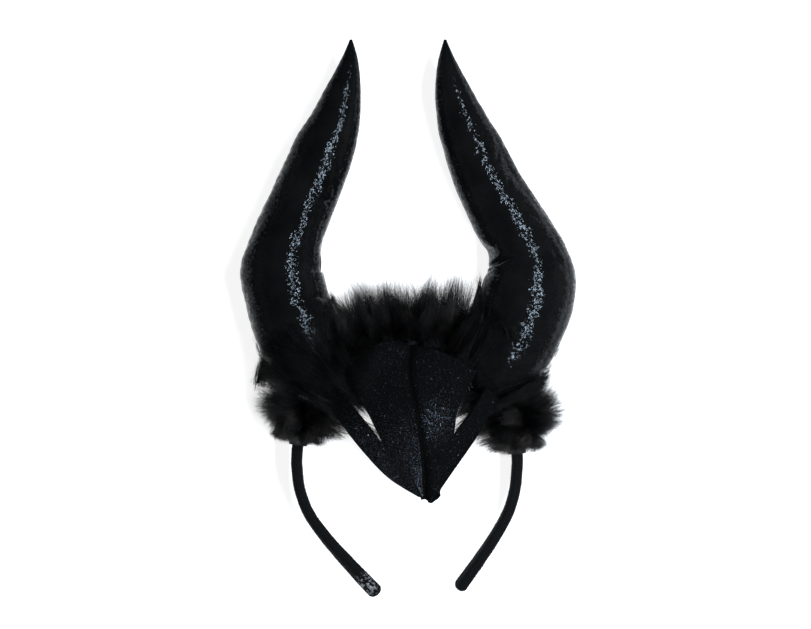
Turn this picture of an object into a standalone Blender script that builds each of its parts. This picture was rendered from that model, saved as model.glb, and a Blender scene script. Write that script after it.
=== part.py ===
"""Devil horns headband: a covered headband, a long-pile fur trim, two stuffed horns and a felt forehead peak.

It lies on its back, as it does when it is put down. +Z is up, from the back of the headband to its front,
+Y runs towards the tips of the horns, and +X is to the right for someone who looks at the front.
The origin is the middle of the whole, on the surface that it lies on.
"""

import math
import random
from collections import namedtuple

import bmesh
import bpy
from mathutils import Vector

MM = 0.001
GAP = 0.3 * MM

# Headband: a half ellipse over the head, and an arm that draws in on each side.
BAND_HALF_WIDTH = 62.0 * MM
BAND_RISE = 68.0 * MM
BAND_THICKNESS = 6.3 * MM
BAND_DEPTH = 9.0 * MM
LEFT_ARM_DROP = 71.0 * MM
LEFT_ARM_DRAW = 43.5 * MM
LEFT_ARM_TWIST = math.radians(52)
RIGHT_ARM_DROP = 68.0 * MM
RIGHT_ARM_DRAW = 31.5 * MM
RIGHT_ARM_TWIST = math.radians(22)
ARM_END_ROUND = 3.4 * MM

# Horns: stuffed tubes that leave the band sideways, bow out, and lean in to a point.
HORN_BASE_ANGLE = math.radians(40)
HORN_HEIGHT = 193.8 * MM
HORN_SWEEP = 23.2 * MM
HORN_RADIUS = 25.0 * MM
HORN_DEPTH_SHARE = 0.9
HORN_PRESSED = 3.5 * MM
HORN_CURL = 5.0 * MM
HORN_SIDES = 20
HORN_RINGS = 38

# Fur trim: a strip with a long pile, wrapped round the crown of the band.
FUR_PILE = 29.0 * MM
FUR_LOCK_DEPTH = 0.2
FUR_LOCK_LEAN = 0.6
FUR_RINGS = 61
FUR_SIDES = 22
FUR_SEED = 7

# Peak: two felt panels sewn along a ridge, each with a strap cut free along a slit.
PEAK_LENGTH = 87.0 * MM
PEAK_HALF_WIDTH = 50.0 * MM
PEAK_LIFT = 24.0 * MM
PEAK_FELT = 1.8 * MM
PEAK_TOP_DROP = 1.2 * MM
PEAK_TOP_CLEARANCE = 5.0 * MM
PEAK_CROWN = 0.07
LEFT_TOP_ARCH = 0.10
RIGHT_TOP_ARCH = 0.035
SEAM_ALLOWANCE = 4.0 * MM
STEEP_FELT = 1.8

# The height of the band's and horns' middle above the surface, which flattens the horns' backs.
BAND_LIFT = HORN_RADIUS * HORN_DEPTH_SHARE - HORN_PRESSED

# Where the band's widest line lies, so that the whole is centred on the origin.
LINE_TO_HORN_TIPS = BAND_RISE * math.sin(HORN_BASE_ANGLE) + HORN_HEIGHT
LINE_TO_ARM_ENDS = max(LEFT_ARM_DROP, RIGHT_ARM_DROP) + ARM_END_ROUND
BAND_LINE_Y = (LINE_TO_ARM_ENDS - LINE_TO_HORN_TIPS) / 2

# down and draw are shares of the arm's drop and draw.
ArmRow = namedtuple("ArmRow", "down draw")
ARM_ROWS = (
    ArmRow(0.00, 0.000),
    ArmRow(0.20, 0.040),
    ArmRow(0.40, 0.165),
    ArmRow(0.60, 0.400),
    ArmRow(0.80, 0.690),
    ArmRow(1.00, 1.000),
)

# out is a share of HORN_SWEEP and up of HORN_HEIGHT, both from where the horn sits on the band; wide is a
# share of HORN_RADIUS.
HornRow = namedtuple("HornRow", "out up wide")
LEFT_HORN_ROWS = (
    HornRow(-0.060, -0.026, 0.350),
    HornRow(0.000, 0.000, 0.560),
    HornRow(0.145, 0.043, 0.770),
    HornRow(0.361, 0.098, 0.900),
    HornRow(0.602, 0.162, 0.950),
    HornRow(0.830, 0.240, 0.950),
    HornRow(0.985, 0.318, 0.940),
    HornRow(0.935, 0.370, 0.885),
    HornRow(0.835, 0.422, 0.820),
    HornRow(0.630, 0.491, 0.765),
    HornRow(0.380, 0.561, 0.735),
    HornRow(0.027, 0.665, 0.700),
    HornRow(-0.305, 0.763, 0.570),
    HornRow(-0.530, 0.855, 0.400),
    HornRow(-0.660, 0.936, 0.210),
    HornRow(-0.700, 1.000, 0.030),
)
RIGHT_HORN_ROWS = (
    HornRow(-0.070, -0.026, 0.350),
    HornRow(0.000, 0.000, 0.560),
    HornRow(0.170, 0.046, 0.830),
    HornRow(0.386, 0.104, 0.970),
    HornRow(0.630, 0.176, 1.040),
    HornRow(0.850, 0.249, 1.060),
    HornRow(0.925, 0.312, 1.030),
    HornRow(0.855, 0.370, 0.920),
    HornRow(0.640, 0.431, 0.830),
    HornRow(0.350, 0.491, 0.790),
    HornRow(0.025, 0.561, 0.735),
    HornRow(-0.375, 0.665, 0.690),
    HornRow(-0.720, 0.763, 0.560),
    HornRow(-0.950, 0.855, 0.400),
    HornRow(-1.085, 0.936, 0.210),
    HornRow(-1.130, 1.000, 0.030),
)

# along is a share of the horn's length from its base, around is 90 at the front and 0 on the outer side;
# deep is a share of HORN_RADIUS.
FoldRow = namedtuple("FoldRow", "along around deep long wide")
LEFT_HORN_FOLDS = (
    FoldRow(0.57, 140, 0.05, 0.018, 28),
    FoldRow(0.26, 142, 0.06, 0.022, 30),
    FoldRow(0.45, 178, 0.04, 0.070, 22),
    FoldRow(0.30, 20, 0.03, 0.050, 26),
)
RIGHT_HORN_FOLDS = (
    FoldRow(0.44, 165, 0.11, 0.028, 30),
    FoldRow(0.40, 125, 0.05, 0.018, 24),
    FoldRow(0.62, 40, 0.06, 0.060, 20),
    FoldRow(0.26, 112, 0.04, 0.030, 30),
)

# turn is the place round the band in degrees, 180 on the left and 0 on the right; out, inward and front are
# the reach of the pile in shares of FUR_PILE.
FurRow = namedtuple("FurRow", "turn out inward front")
FUR_ROWS = (
    FurRow(173, 0.24, 0.22, 0.24),
    FurRow(168, 0.52, 0.50, 0.52),
    FurRow(160, 0.90, 0.90, 0.80),
    FurRow(146, 1.10, 1.06, 0.92),
    FurRow(128, 1.12, 1.08, 0.96),
    FurRow(110, 1.24, 1.02, 0.88),
    FurRow(90, 1.20, 0.98, 0.78),
    FurRow(70, 1.38, 1.00, 0.80),
    FurRow(54, 1.20, 1.04, 0.56),
    FurRow(40, 0.96, 1.04, 0.48),
    FurRow(28, 1.00, 1.06, 0.74),
    FurRow(16, 1.12, 0.94, 0.82),
    FurRow(8, 0.70, 0.60, 0.56),
    FurRow(3, 0.24, 0.22, 0.24),
)

# The ridge, from the top of the peak to its point. out and down are shares of PEAK_HALF_WIDTH and
# PEAK_LENGTH, and lift is a share of PEAK_LIFT above the peak's top edge.
SeamRow = namedtuple("SeamRow", "out down lift")
SEAM_ROWS = (
    SeamRow(0.045, 0.000, 0.00),
    SeamRow(0.035, 0.200, 0.36),
    SeamRow(0.110, 0.420, 0.76),
    SeamRow(0.160, 0.620, 0.94),
    SeamRow(0.185, 0.800, 1.00),
    SeamRow(0.195, 0.960, 1.00),
)

# A panel's free edges at the same rows: edge is the panel's side of the slit, slit the strap's side, and rim
# the strap's outer edge. The slit closes where edge and slit meet.
PanelRow = namedtuple(
    "PanelRow", "edge_out edge_down edge_lift slit_out slit_down rim_out rim_down rim_lift"
)
LEFT_PANEL_ROWS = (
    PanelRow(-0.66, 0.180, 0.26, -0.80, 0.280, -0.93, 0.340, 0.08),
    PanelRow(-0.56, 0.310, 0.38, -0.69, 0.345, -0.81, 0.425, 0.17),
    PanelRow(-0.43, 0.430, 0.48, -0.54, 0.435, -0.69, 0.530, 0.26),
    PanelRow(-0.25, 0.645, 0.60, -0.25, 0.645, -0.46, 0.690, 0.44),
    PanelRow(-0.07, 0.830, 0.84, -0.07, 0.830, -0.20, 0.835, 0.72),
    PanelRow(0.16, 0.950, 0.99, 0.16, 0.950, 0.12, 0.945, 0.96),
)
RIGHT_PANEL_ROWS = (
    PanelRow(0.77, 0.165, 0.26, 0.88, 0.270, 1.02, 0.340, 0.08),
    PanelRow(0.68, 0.260, 0.38, 0.80, 0.345, 0.93, 0.430, 0.17),
    PanelRow(0.56, 0.410, 0.48, 0.68, 0.450, 0.82, 0.540, 0.26),
    PanelRow(0.505, 0.585, 0.60, 0.505, 0.585, 0.67, 0.665, 0.44),
    PanelRow(0.37, 0.780, 0.84, 0.37, 0.780, 0.47, 0.820, 0.72),
    PanelRow(0.27, 0.985, 0.98, 0.27, 0.985, 0.33, 0.930, 0.95),
)


def smooth_values(rows, per_row):
    """Catmull-Rom values through the rows, per_row of them to each gap, the last row included."""
    values = []
    for i in range(len(rows) - 1):
        before = rows[max(i - 1, 0)]
        first, last = rows[i], rows[i + 1]
        after = rows[min(i + 2, len(rows) - 1)]
        for step in range(per_row):
            t = step / per_row
            values.append(
                [
                    0.5
                    * (
                        2 * b
                        + (c - a) * t
                        + (2 * a - 5 * b + 4 * c - d) * t * t
                        + (3 * b - a - 3 * c + d) * t**3
                    )
                    for a, b, c, d in zip(before, first, last, after)
                ]
            )
    values.append(list(rows[-1]))
    return values


def value_between(rows, at):
    """The row's other columns at a value of its first column, which falls from row to row."""
    for high, low in zip(rows, rows[1:]):
        if low[0] <= at:
            share = (high[0] - at) / (high[0] - low[0])
            eased = share * share * (3 - 2 * share)
            return [a + (b - a) * eased for a, b in zip(high[1:], low[1:])]
    return list(rows[-1][1:])


def evenly_spaced(points, count):
    """count points at equal distances along a line of points that each start with x, y."""
    lengths = [0.0]
    for a, b in zip(points, points[1:]):
        lengths.append(lengths[-1] + math.dist(a[:2], b[:2]))
    even = []
    k = 0
    for i in range(count):
        wanted = lengths[-1] * i / (count - 1)
        while k < len(lengths) - 2 and lengths[k + 1] < wanted:
            k += 1
        share = (wanted - lengths[k]) / (lengths[k + 1] - lengths[k])
        even.append([a + (b - a) * share for a, b in zip(points[k], points[k + 1])])
    return even


def material(name, colour, roughness, metallic=0.0):
    made = bpy.data.materials.new(name)
    made.use_nodes = True
    shader = made.node_tree.nodes["Principled BSDF"]
    shader.inputs["Base Color"].default_value = (*colour, 1.0)
    shader.inputs["Roughness"].default_value = roughness
    shader.inputs["Metallic"].default_value = metallic
    return made


def add_object(name, mesh, collection, made_of=None):
    obj = bpy.data.objects.new(name, mesh)
    collection.objects.link(obj)
    if made_of:
        mesh.materials.append(made_of)
        mesh.shade_smooth()
    else:
        obj.hide_render = True
        obj.display_type = "WIRE"
    return obj


def loft(name, rings):
    """A closed mesh through rings of points, with a fan over each end."""
    bm = bmesh.new()
    loops = [[bm.verts.new(p) for p in ring] for ring in rings]
    count = len(rings[0])
    for one, two in zip(loops, loops[1:]):
        for j in range(count):
            k = (j + 1) % count
            bm.faces.new((one[j], one[k], two[k], two[j]))
    for loop, order in ((loops[0], -1), (loops[-1], 1)):
        middle = bm.verts.new(sum((v.co for v in loop), Vector()) / count)
        for j in range(count):
            pair = (loop[j], loop[(j + 1) % count])[::order]
            bm.faces.new((*pair, middle))
    bmesh.ops.recalc_face_normals(bm, faces=bm.faces)
    mesh = bpy.data.meshes.new(name)
    bm.to_mesh(mesh)
    bm.free()
    return mesh


def band_point(angle):
    """The band's centreline over the head, at an angle that is 0 on the right and pi on the left."""
    return Vector(
        (
            BAND_HALF_WIDTH * math.cos(angle),
            BAND_LINE_Y + BAND_RISE * math.sin(angle),
            BAND_LIFT,
        )
    )


def arm_points(side, drop, draw, twist):
    """[x, y, twist] along an arm, from the band's widest line to the arm's end."""
    return [
        [
            side * (BAND_HALF_WIDTH - draw * inward),
            BAND_LINE_Y - drop * down,
            side * twist * down**2,
        ]
        for down, inward in smooth_values(ARM_ROWS, 5)
    ]


def band_line():
    """[x, y, twist] along the whole band, from the left arm's end to the right arm's."""
    left = arm_points(-1, LEFT_ARM_DROP, LEFT_ARM_DRAW, LEFT_ARM_TWIST)
    right = arm_points(1, RIGHT_ARM_DROP, RIGHT_ARM_DRAW, RIGHT_ARM_TWIST)
    steps = 32
    crown = [
        [*band_point(math.pi * (1 - i / steps))[:2], 0.0] for i in range(1, steps)
    ]
    return left[::-1] + crown + right


def band_section(centre, across, twist, share, grow):
    """A rounded oblong round the band's line: its thickness lies across the line and its depth along Z."""
    sides = 12
    squareness = 0.72
    turned = across * math.cos(twist) + Vector((0, 0, 1)) * math.sin(twist)
    deep = Vector((0, 0, 1)) * math.cos(twist) - across * math.sin(twist)
    ring = []
    for j in range(sides):
        angle = 2 * math.pi * (j + 0.5) / sides
        c, s = math.cos(angle), math.sin(angle)
        a = math.copysign(abs(c) ** squareness, c)
        b = math.copysign(abs(s) ** squareness, s)
        half_thick = BAND_THICKNESS / 2 * share + grow
        half_deep = BAND_DEPTH / 2 * share + grow
        ring.append(centre + turned * a * half_thick + deep * b * half_deep)
    return ring


def band_mesh(name, grow=0.0):
    """The band, or with grow the room that it takes in what is wrapped round it."""
    line = evenly_spaced(band_line(), 62)
    rings = []
    for i, (x, y, twist) in enumerate(line):
        before, after = line[max(i - 1, 0)], line[min(i + 1, len(line) - 1)]
        along = Vector((after[0] - before[0], after[1] - before[1], 0)).normalized()
        across = Vector((along.y, -along.x, 0))
        centre = Vector((x, y, BAND_LIFT))
        rings.append(band_section(centre, across, twist, 1.0, grow))
        if i in (0, len(line) - 1):
            outward = -along if i == 0 else along
            ends = [
                band_section(
                    centre + outward * ARM_END_ROUND * math.sin(turn),
                    across,
                    twist,
                    math.cos(turn),
                    grow,
                )
                for turn in (math.radians(35), math.radians(65))
            ]
            rings = ends[::-1] + rings if i == 0 else rings + ends
    return loft(name, rings)


def horn_line(side, rows):
    """[x, y, radius] along a horn, from the end that sits on the band to its tip."""
    seat = band_point(HORN_BASE_ANGLE if side > 0 else math.pi - HORN_BASE_ANGLE)
    points = [
        [
            seat.x + side * HORN_SWEEP * out,
            seat.y + HORN_HEIGHT * up,
            HORN_RADIUS * wide,
        ]
        for out, up, wide in smooth_values(rows, 8)
    ]
    return evenly_spaced(points, HORN_RINGS)


def fold_depth(folds, along, around):
    """How far the folds push the horn's skin in at a place, as a share of HORN_RADIUS."""
    depth = 0.0
    for fold in folds:
        apart = (around - fold.around + 180) % 360 - 180
        reach = ((along - fold.along) / fold.long) ** 2 + (apart / fold.wide) ** 2
        depth += fold.deep * math.exp(-reach)
    return depth


def horn_mesh(name, side, rows, folds, grow=0.0):
    """A horn, or with grow the room that it takes in the fur round its base."""
    line = horn_line(side, rows)
    if grow:
        line[0] = [a + (a - b) * 0.5 for a, b in zip(line[0], line[1])]
    rings = []
    for i, (x, y, radius) in enumerate(line):
        share = i / (len(line) - 1)
        before, after = line[max(i - 1, 0)], line[min(i + 1, len(line) - 1)]
        along = Vector((after[0] - before[0], after[1] - before[1], 0)).normalized()
        outer = Vector((along.y, -along.x, 0)) * side
        centre = Vector((x, y, BAND_LIFT + HORN_CURL * share**3))
        ring = []
        for j in range(HORN_SIDES):
            around = 360 * j / HORN_SIDES
            angle = math.radians(around)
            here = radius + grow
            if not grow:
                here -= min(HORN_RADIUS * fold_depth(folds, share, around), radius / 3)
            point = centre + outer * math.cos(angle) * here
            point.z += math.sin(angle) * here * HORN_DEPTH_SHARE
            if not grow:
                point.z = max(point.z, 0.0)
            ring.append(point)
        rings.append(ring)
    return loft(name, rings)


def fur_point(turn, around, reach):
    """A place on the fur at a turn round the band and an angle round its line, both in degrees."""
    out, inward, front = value_between(FUR_ROWS, turn)
    angle = math.radians(turn)
    outward = Vector(
        (math.cos(angle) / BAND_HALF_WIDTH, math.sin(angle) / BAND_RISE, 0)
    ).normalized()
    across = math.cos(math.radians(around))
    rise = math.sin(math.radians(around))
    wide = out if across > 0 else inward
    point = band_point(angle) + outward * across * wide * FUR_PILE * reach
    point.z += rise * front * FUR_PILE * reach
    point.z = max(point.z, 0.0)
    return point


def fur_mesh(name):
    """The fur's outer form: a roll round the crown of the band, drawn out into staggered locks."""
    chance = random.Random(FUR_SEED)
    first, last = FUR_ROWS[0].turn, FUR_ROWS[-1].turn
    turn_step = (last - first) / (FUR_RINGS - 1)
    around_step = 360 / FUR_SIDES
    rings = []
    for i in range(FUR_RINGS):
        ring = []
        for j in range(FUR_SIDES):
            turn, around, reach = first + turn_step * i, around_step * j, 1 - FUR_LOCK_DEPTH
            if (i + 2 * (j % 2)) % 4 == 2 and 0 < i < FUR_RINGS - 1:
                turn += turn_step * chance.uniform(-FUR_LOCK_LEAN, FUR_LOCK_LEAN)
                around += around_step * chance.uniform(-FUR_LOCK_LEAN, FUR_LOCK_LEAN)
                reach = 1 + FUR_LOCK_DEPTH * chance.uniform(-0.35, 0.15)
            ring.append(fur_point(turn, around, reach))
        rings.append(ring)
    return loft(name, rings)


def seam_point(out, down, lift):
    """A place on the peak from its shares, measured from the middle of the band's crown."""
    crown = band_point(math.pi / 2)
    return Vector(
        (
            PEAK_HALF_WIDTH * out,
            crown.y - PEAK_TOP_DROP - PEAK_LENGTH * down,
            BAND_LIFT + BAND_DEPTH / 2 + PEAK_TOP_CLEARANCE + PEAK_FELT + PEAK_LIFT * lift,
        )
    )


def panel_grid(side, rows, per_row):
    """Rows of points over a panel's front: the seam allowance, the panel to its slit, then the strap."""
    seam = smooth_values(SEAM_ROWS, per_row)
    edges = smooth_values(rows, per_row)
    inner_columns, strap_columns = 6, 2
    top_arch = LEFT_TOP_ARCH if side < 0 else RIGHT_TOP_ARCH
    grid = []
    for (out, down, lift), values in zip(seam, edges):
        row = PanelRow(*values)
        ridge = seam_point(out, down, lift) + Vector((side * GAP, 0, 0))
        edge = seam_point(row.edge_out, row.edge_down, row.edge_lift)
        slit = seam_point(row.slit_out, row.slit_down, row.edge_lift)
        rim = seam_point(row.rim_out, row.rim_down, row.rim_lift)
        turned_in = ridge - Vector((0, 0, SEAM_ALLOWANCE))
        panel = []
        for k in range(inner_columns + 1):
            share = k / inner_columns
            point = ridge.lerp(edge, share)
            arch = math.sin(math.pi * share)
            point.z += PEAK_CROWN * PEAK_LIFT * arch * lift
            point.y += top_arch * PEAK_LENGTH * arch * max(0.0, 1 - 3 * down)
            panel.append(point)
        strap = [slit.lerp(rim, k / strap_columns) for k in range(strap_columns + 1)]
        grid.append(([turned_in, *panel], strap))
    return grid


def panel_mesh(name, side, rows, per_row=4):
    """One panel's front as an open sheet, slit from its top edge down to where edge and slit meet."""
    bm = bmesh.new()
    open_until = next(
        i for i, row in enumerate(rows) if (row.edge_out, row.edge_down) == (row.slit_out, row.slit_down)
    ) * per_row
    lines = []
    for i, (panel, strap) in enumerate(panel_grid(side, rows, per_row)):
        inner = [bm.verts.new(p) for p in panel]
        if i < open_until:
            lines.append((inner, [bm.verts.new(p) for p in strap]))
        else:
            lines.append((inner, [inner[-1]] + [bm.verts.new(p) for p in strap[1:]]))
    for one, two in zip(lines, lines[1:]):
        for above, below in zip(one, two):
            for k in range(len(above) - 1):
                corners = (above[k], below[k], below[k + 1], above[k + 1])
                bm.faces.new(corners[::side])
    mesh = bpy.data.meshes.new(name)
    bm.to_mesh(mesh)
    bm.free()
    return mesh


def add_panel(name, side, rows, parts, made_of):
    obj = add_object(name, panel_mesh(name, side, rows), parts, made_of)
    shell = obj.modifiers.new("felt", "SOLIDIFY")
    shell.thickness = PEAK_FELT
    shell.offset = -1
    shell.use_even_offset = True
    return obj


def panel_room(name, side, rows, cutters):
    """All the space in front of a panel's back, which the fur is pressed out of."""
    per_row = 3
    bm = bmesh.new()
    under = Vector((0, 0, -PEAK_FELT * STEEP_FELT - 2 * GAP))
    over = Vector((0, 0, PEAK_LIFT * 2))
    spare = Vector((side * 3 * GAP, 0, 0))
    grid = []
    for panel, strap in panel_grid(side, rows, per_row):
        edge = panel[-2].lerp(panel[-1], 0.9)
        grid.append([panel[1] - spare, *panel[2:-1], edge, *strap[:-1], strap[-1] + spare])
    grid.insert(0, [a + (a - b).normalized() * 3 * GAP for a, b in zip(grid[0], grid[1])])
    levels = [
        [[bm.verts.new(p + shift) for p in row] for row in grid] for shift in (under, over)
    ]
    for lines in levels:
        for one, two in zip(lines, lines[1:]):
            for k in range(len(one) - 1):
                bm.faces.new((one[k], two[k], two[k + 1], one[k + 1]))
    borders = [
        [row[0] for row in lines]
        + lines[-1][1:]
        + [row[-1] for row in lines[-2::-1]]
        + lines[0][-2:0:-1]
        for lines in levels
    ]
    low, high = borders
    for k in range(len(low)):
        n = (k + 1) % len(low)
        bm.faces.new((low[k], low[n], high[n], high[k]))
    bmesh.ops.recalc_face_normals(bm, faces=bm.faces)
    mesh = bpy.data.meshes.new(name)
    bm.to_mesh(mesh)
    bm.free()
    return add_object(name, mesh, cutters)


def seam_room(name, cutters):
    """The space that the two turned-in seam allowances take behind the ridge."""
    half = PEAK_FELT + 3 * GAP
    ridge = [seam_point(*row) for row in smooth_values(SEAM_ROWS, 3)]
    ridge.insert(0, ridge[0] + (ridge[0] - ridge[1]).normalized() * 3 * GAP)
    corners = (
        Vector((-half, 0, PEAK_FELT)),
        Vector((half, 0, PEAK_FELT)),
        Vector((half, 0, -SEAM_ALLOWANCE - 2 * GAP)),
        Vector((-half, 0, -SEAM_ALLOWANCE - 2 * GAP)),
    )
    rings = [[place + corner for corner in corners] for place in ridge]
    return add_object(name, loft(name, rings), cutters)


def combine(obj, other, operation="DIFFERENCE"):
    boolean = obj.modifiers.new(operation.lower() + " " + other.name, "BOOLEAN")
    boolean.operation = operation
    boolean.solver = "EXACT"
    boolean.object = other


def main():
    for obj in list(bpy.data.objects):
        bpy.data.objects.remove(obj)
    parts = bpy.data.collections.new("devil horns headband")
    cutters = bpy.data.collections.new("cutters")
    for collection in (parts, cutters):
        bpy.context.scene.collection.children.link(collection)

    velvet = material("black velvet", (0.012, 0.012, 0.013), 0.95)
    foil_cloth = material("black foil cloth", (0.010, 0.011, 0.014), 0.22)
    fur = material("black fur", (0.018, 0.018, 0.020), 0.85)
    felt = material("black glitter felt", (0.020, 0.022, 0.026), 0.70)

    add_object("headband", band_mesh("headband"), parts, velvet)
    band_room = add_object("band room", band_mesh("band room", GAP), cutters)

    horns = (
        ("horn_left", -1, LEFT_HORN_ROWS, LEFT_HORN_FOLDS),
        ("horn_right", 1, RIGHT_HORN_ROWS, RIGHT_HORN_FOLDS),
    )
    trim = add_object("fur_trim", fur_mesh("fur_trim"), parts, fur)
    combine(trim, band_room)
    for name, side, rows, folds in horns:
        horn = add_object(name, horn_mesh(name, side, rows, folds), parts, foil_cloth)
        combine(horn, band_room)
        room = horn_mesh(name + " room", side, rows, folds, 2 * GAP)
        combine(trim, add_object(name + " room", room, cutters))

    panels = (
        ("peak_left_panel", -1, LEFT_PANEL_ROWS),
        ("peak_right_panel", 1, RIGHT_PANEL_ROWS),
    )
    peak_room = seam_room("peak room", cutters)
    for name, side, rows in panels:
        add_panel(name, side, rows, parts, felt)
        combine(peak_room, panel_room(name + " room", side, rows, cutters), "UNION")
    combine(trim, peak_room)


main()
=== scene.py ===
"""Dressed model of the devil horns headband: foil cloth horns, a velvet band, long fur and a felt peak.

Lengths are in metres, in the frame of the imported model. The tables of the forms are those of the part.
"""

import math

import bpy
import numpy as np
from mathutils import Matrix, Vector, kdtree, noise
from mathutils.bvhtree import BVHTree


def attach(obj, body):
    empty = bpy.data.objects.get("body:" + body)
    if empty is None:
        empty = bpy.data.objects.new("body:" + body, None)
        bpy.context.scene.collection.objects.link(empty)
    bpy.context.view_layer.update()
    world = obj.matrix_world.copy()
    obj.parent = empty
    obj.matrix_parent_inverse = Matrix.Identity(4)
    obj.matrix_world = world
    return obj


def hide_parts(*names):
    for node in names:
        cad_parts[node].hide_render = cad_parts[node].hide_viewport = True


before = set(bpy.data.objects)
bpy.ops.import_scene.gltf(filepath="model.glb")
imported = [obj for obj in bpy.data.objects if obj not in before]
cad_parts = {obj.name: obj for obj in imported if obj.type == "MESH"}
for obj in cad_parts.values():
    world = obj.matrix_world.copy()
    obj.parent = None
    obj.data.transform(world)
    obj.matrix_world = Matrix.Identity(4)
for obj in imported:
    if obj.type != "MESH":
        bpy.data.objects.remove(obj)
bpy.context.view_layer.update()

MM = 0.001
GAP = 0.3 * MM

# The forms of the part.
BAND_HALF_WIDTH = 62.0 * MM
BAND_RISE = 68.0 * MM
BAND_THICKNESS = 6.3 * MM
BAND_DEPTH = 9.0 * MM
LEFT_ARM_DROP = 71.0 * MM
LEFT_ARM_DRAW = 43.5 * MM
LEFT_ARM_TWIST = math.radians(52)
RIGHT_ARM_DROP = 68.0 * MM
RIGHT_ARM_DRAW = 31.5 * MM
RIGHT_ARM_TWIST = math.radians(22)
ARM_END_ROUND = 3.4 * MM
HORN_BASE_ANGLE = math.radians(40)
HORN_HEIGHT = 193.8 * MM
HORN_SWEEP = 23.2 * MM
HORN_RADIUS = 25.0 * MM
HORN_DEPTH_SHARE = 0.9
HORN_PRESSED = 3.5 * MM
HORN_CURL = 5.0 * MM
FUR_PILE = 29.0 * MM
PEAK_LENGTH = 87.0 * MM
PEAK_HALF_WIDTH = 50.0 * MM
PEAK_LIFT = 24.0 * MM
PEAK_FELT = 1.8 * MM
PEAK_TOP_DROP = 1.2 * MM
PEAK_TOP_CLEARANCE = 5.0 * MM
PEAK_CROWN = 0.07
LEFT_TOP_ARCH = 0.10
RIGHT_TOP_ARCH = 0.035
SEAM_ALLOWANCE = 4.0 * MM
BAND_LIFT = HORN_RADIUS * HORN_DEPTH_SHARE - HORN_PRESSED
LINE_TO_HORN_TIPS = BAND_RISE * math.sin(HORN_BASE_ANGLE) + HORN_HEIGHT
LINE_TO_ARM_ENDS = max(LEFT_ARM_DROP, RIGHT_ARM_DROP) + ARM_END_ROUND
BAND_LINE_Y = (LINE_TO_ARM_ENDS - LINE_TO_HORN_TIPS) / 2

ARM_ROWS = ((0.00, 0.000), (0.20, 0.040), (0.40, 0.165), (0.60, 0.400), (0.80, 0.690), (1.00, 1.000))

LEFT_HORN_ROWS = (
    (-0.060, -0.026, 0.350),
    (0.000, 0.000, 0.560),
    (0.145, 0.043, 0.770),
    (0.361, 0.098, 0.900),
    (0.602, 0.162, 0.950),
    (0.830, 0.240, 0.950),
    (0.985, 0.318, 0.940),
    (0.935, 0.370, 0.885),
    (0.835, 0.422, 0.820),
    (0.630, 0.491, 0.765),
    (0.380, 0.561, 0.735),
    (0.027, 0.665, 0.700),
    (-0.305, 0.763, 0.570),
    (-0.530, 0.855, 0.400),
    (-0.660, 0.936, 0.210),
    (-0.700, 1.000, 0.030),
)
RIGHT_HORN_ROWS = (
    (-0.070, -0.026, 0.350),
    (0.000, 0.000, 0.560),
    (0.170, 0.046, 0.830),
    (0.386, 0.104, 0.970),
    (0.630, 0.176, 1.040),
    (0.850, 0.249, 1.060),
    (0.925, 0.312, 1.030),
    (0.855, 0.370, 0.920),
    (0.640, 0.431, 0.830),
    (0.350, 0.491, 0.790),
    (0.025, 0.561, 0.735),
    (-0.375, 0.665, 0.690),
    (-0.720, 0.763, 0.560),
    (-0.950, 0.855, 0.400),
    (-1.085, 0.936, 0.210),
    (-1.130, 1.000, 0.030),
)

# along, around, deep (share of HORN_RADIUS), long, wide, as in the part.
LEFT_HORN_FOLDS = (
    (0.57, 140, 0.05, 0.018, 28),
    (0.26, 142, 0.06, 0.022, 30),
    (0.45, 178, 0.04, 0.070, 22),
    (0.30, 20, 0.03, 0.050, 26),
)
RIGHT_HORN_FOLDS = (
    (0.44, 165, 0.11, 0.028, 30),
    (0.40, 125, 0.05, 0.018, 24),
    (0.62, 40, 0.06, 0.060, 20),
    (0.26, 112, 0.04, 0.030, 30),
)

# turn, out, inward, front, as in the part.
FUR_ROWS = (
    (173, 0.24, 0.22, 0.24),
    (168, 0.52, 0.50, 0.52),
    (160, 0.90, 0.90, 0.80),
    (146, 1.10, 1.06, 0.92),
    (128, 1.12, 1.08, 0.96),
    (110, 1.24, 1.02, 0.88),
    (90, 1.20, 0.98, 0.78),
    (70, 1.38, 1.00, 0.80),
    (54, 1.20, 1.04, 0.56),
    (40, 0.96, 1.04, 0.48),
    (28, 1.00, 1.06, 0.74),
    (16, 1.12, 0.94, 0.82),
    (8, 0.70, 0.60, 0.56),
    (3, 0.24, 0.22, 0.24),
)

SEAM_ROWS = (
    (0.045, 0.000, 0.00),
    (0.035, 0.200, 0.36),
    (0.110, 0.420, 0.76),
    (0.160, 0.620, 0.94),
    (0.185, 0.800, 1.00),
    (0.195, 0.960, 1.00),
)

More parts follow.
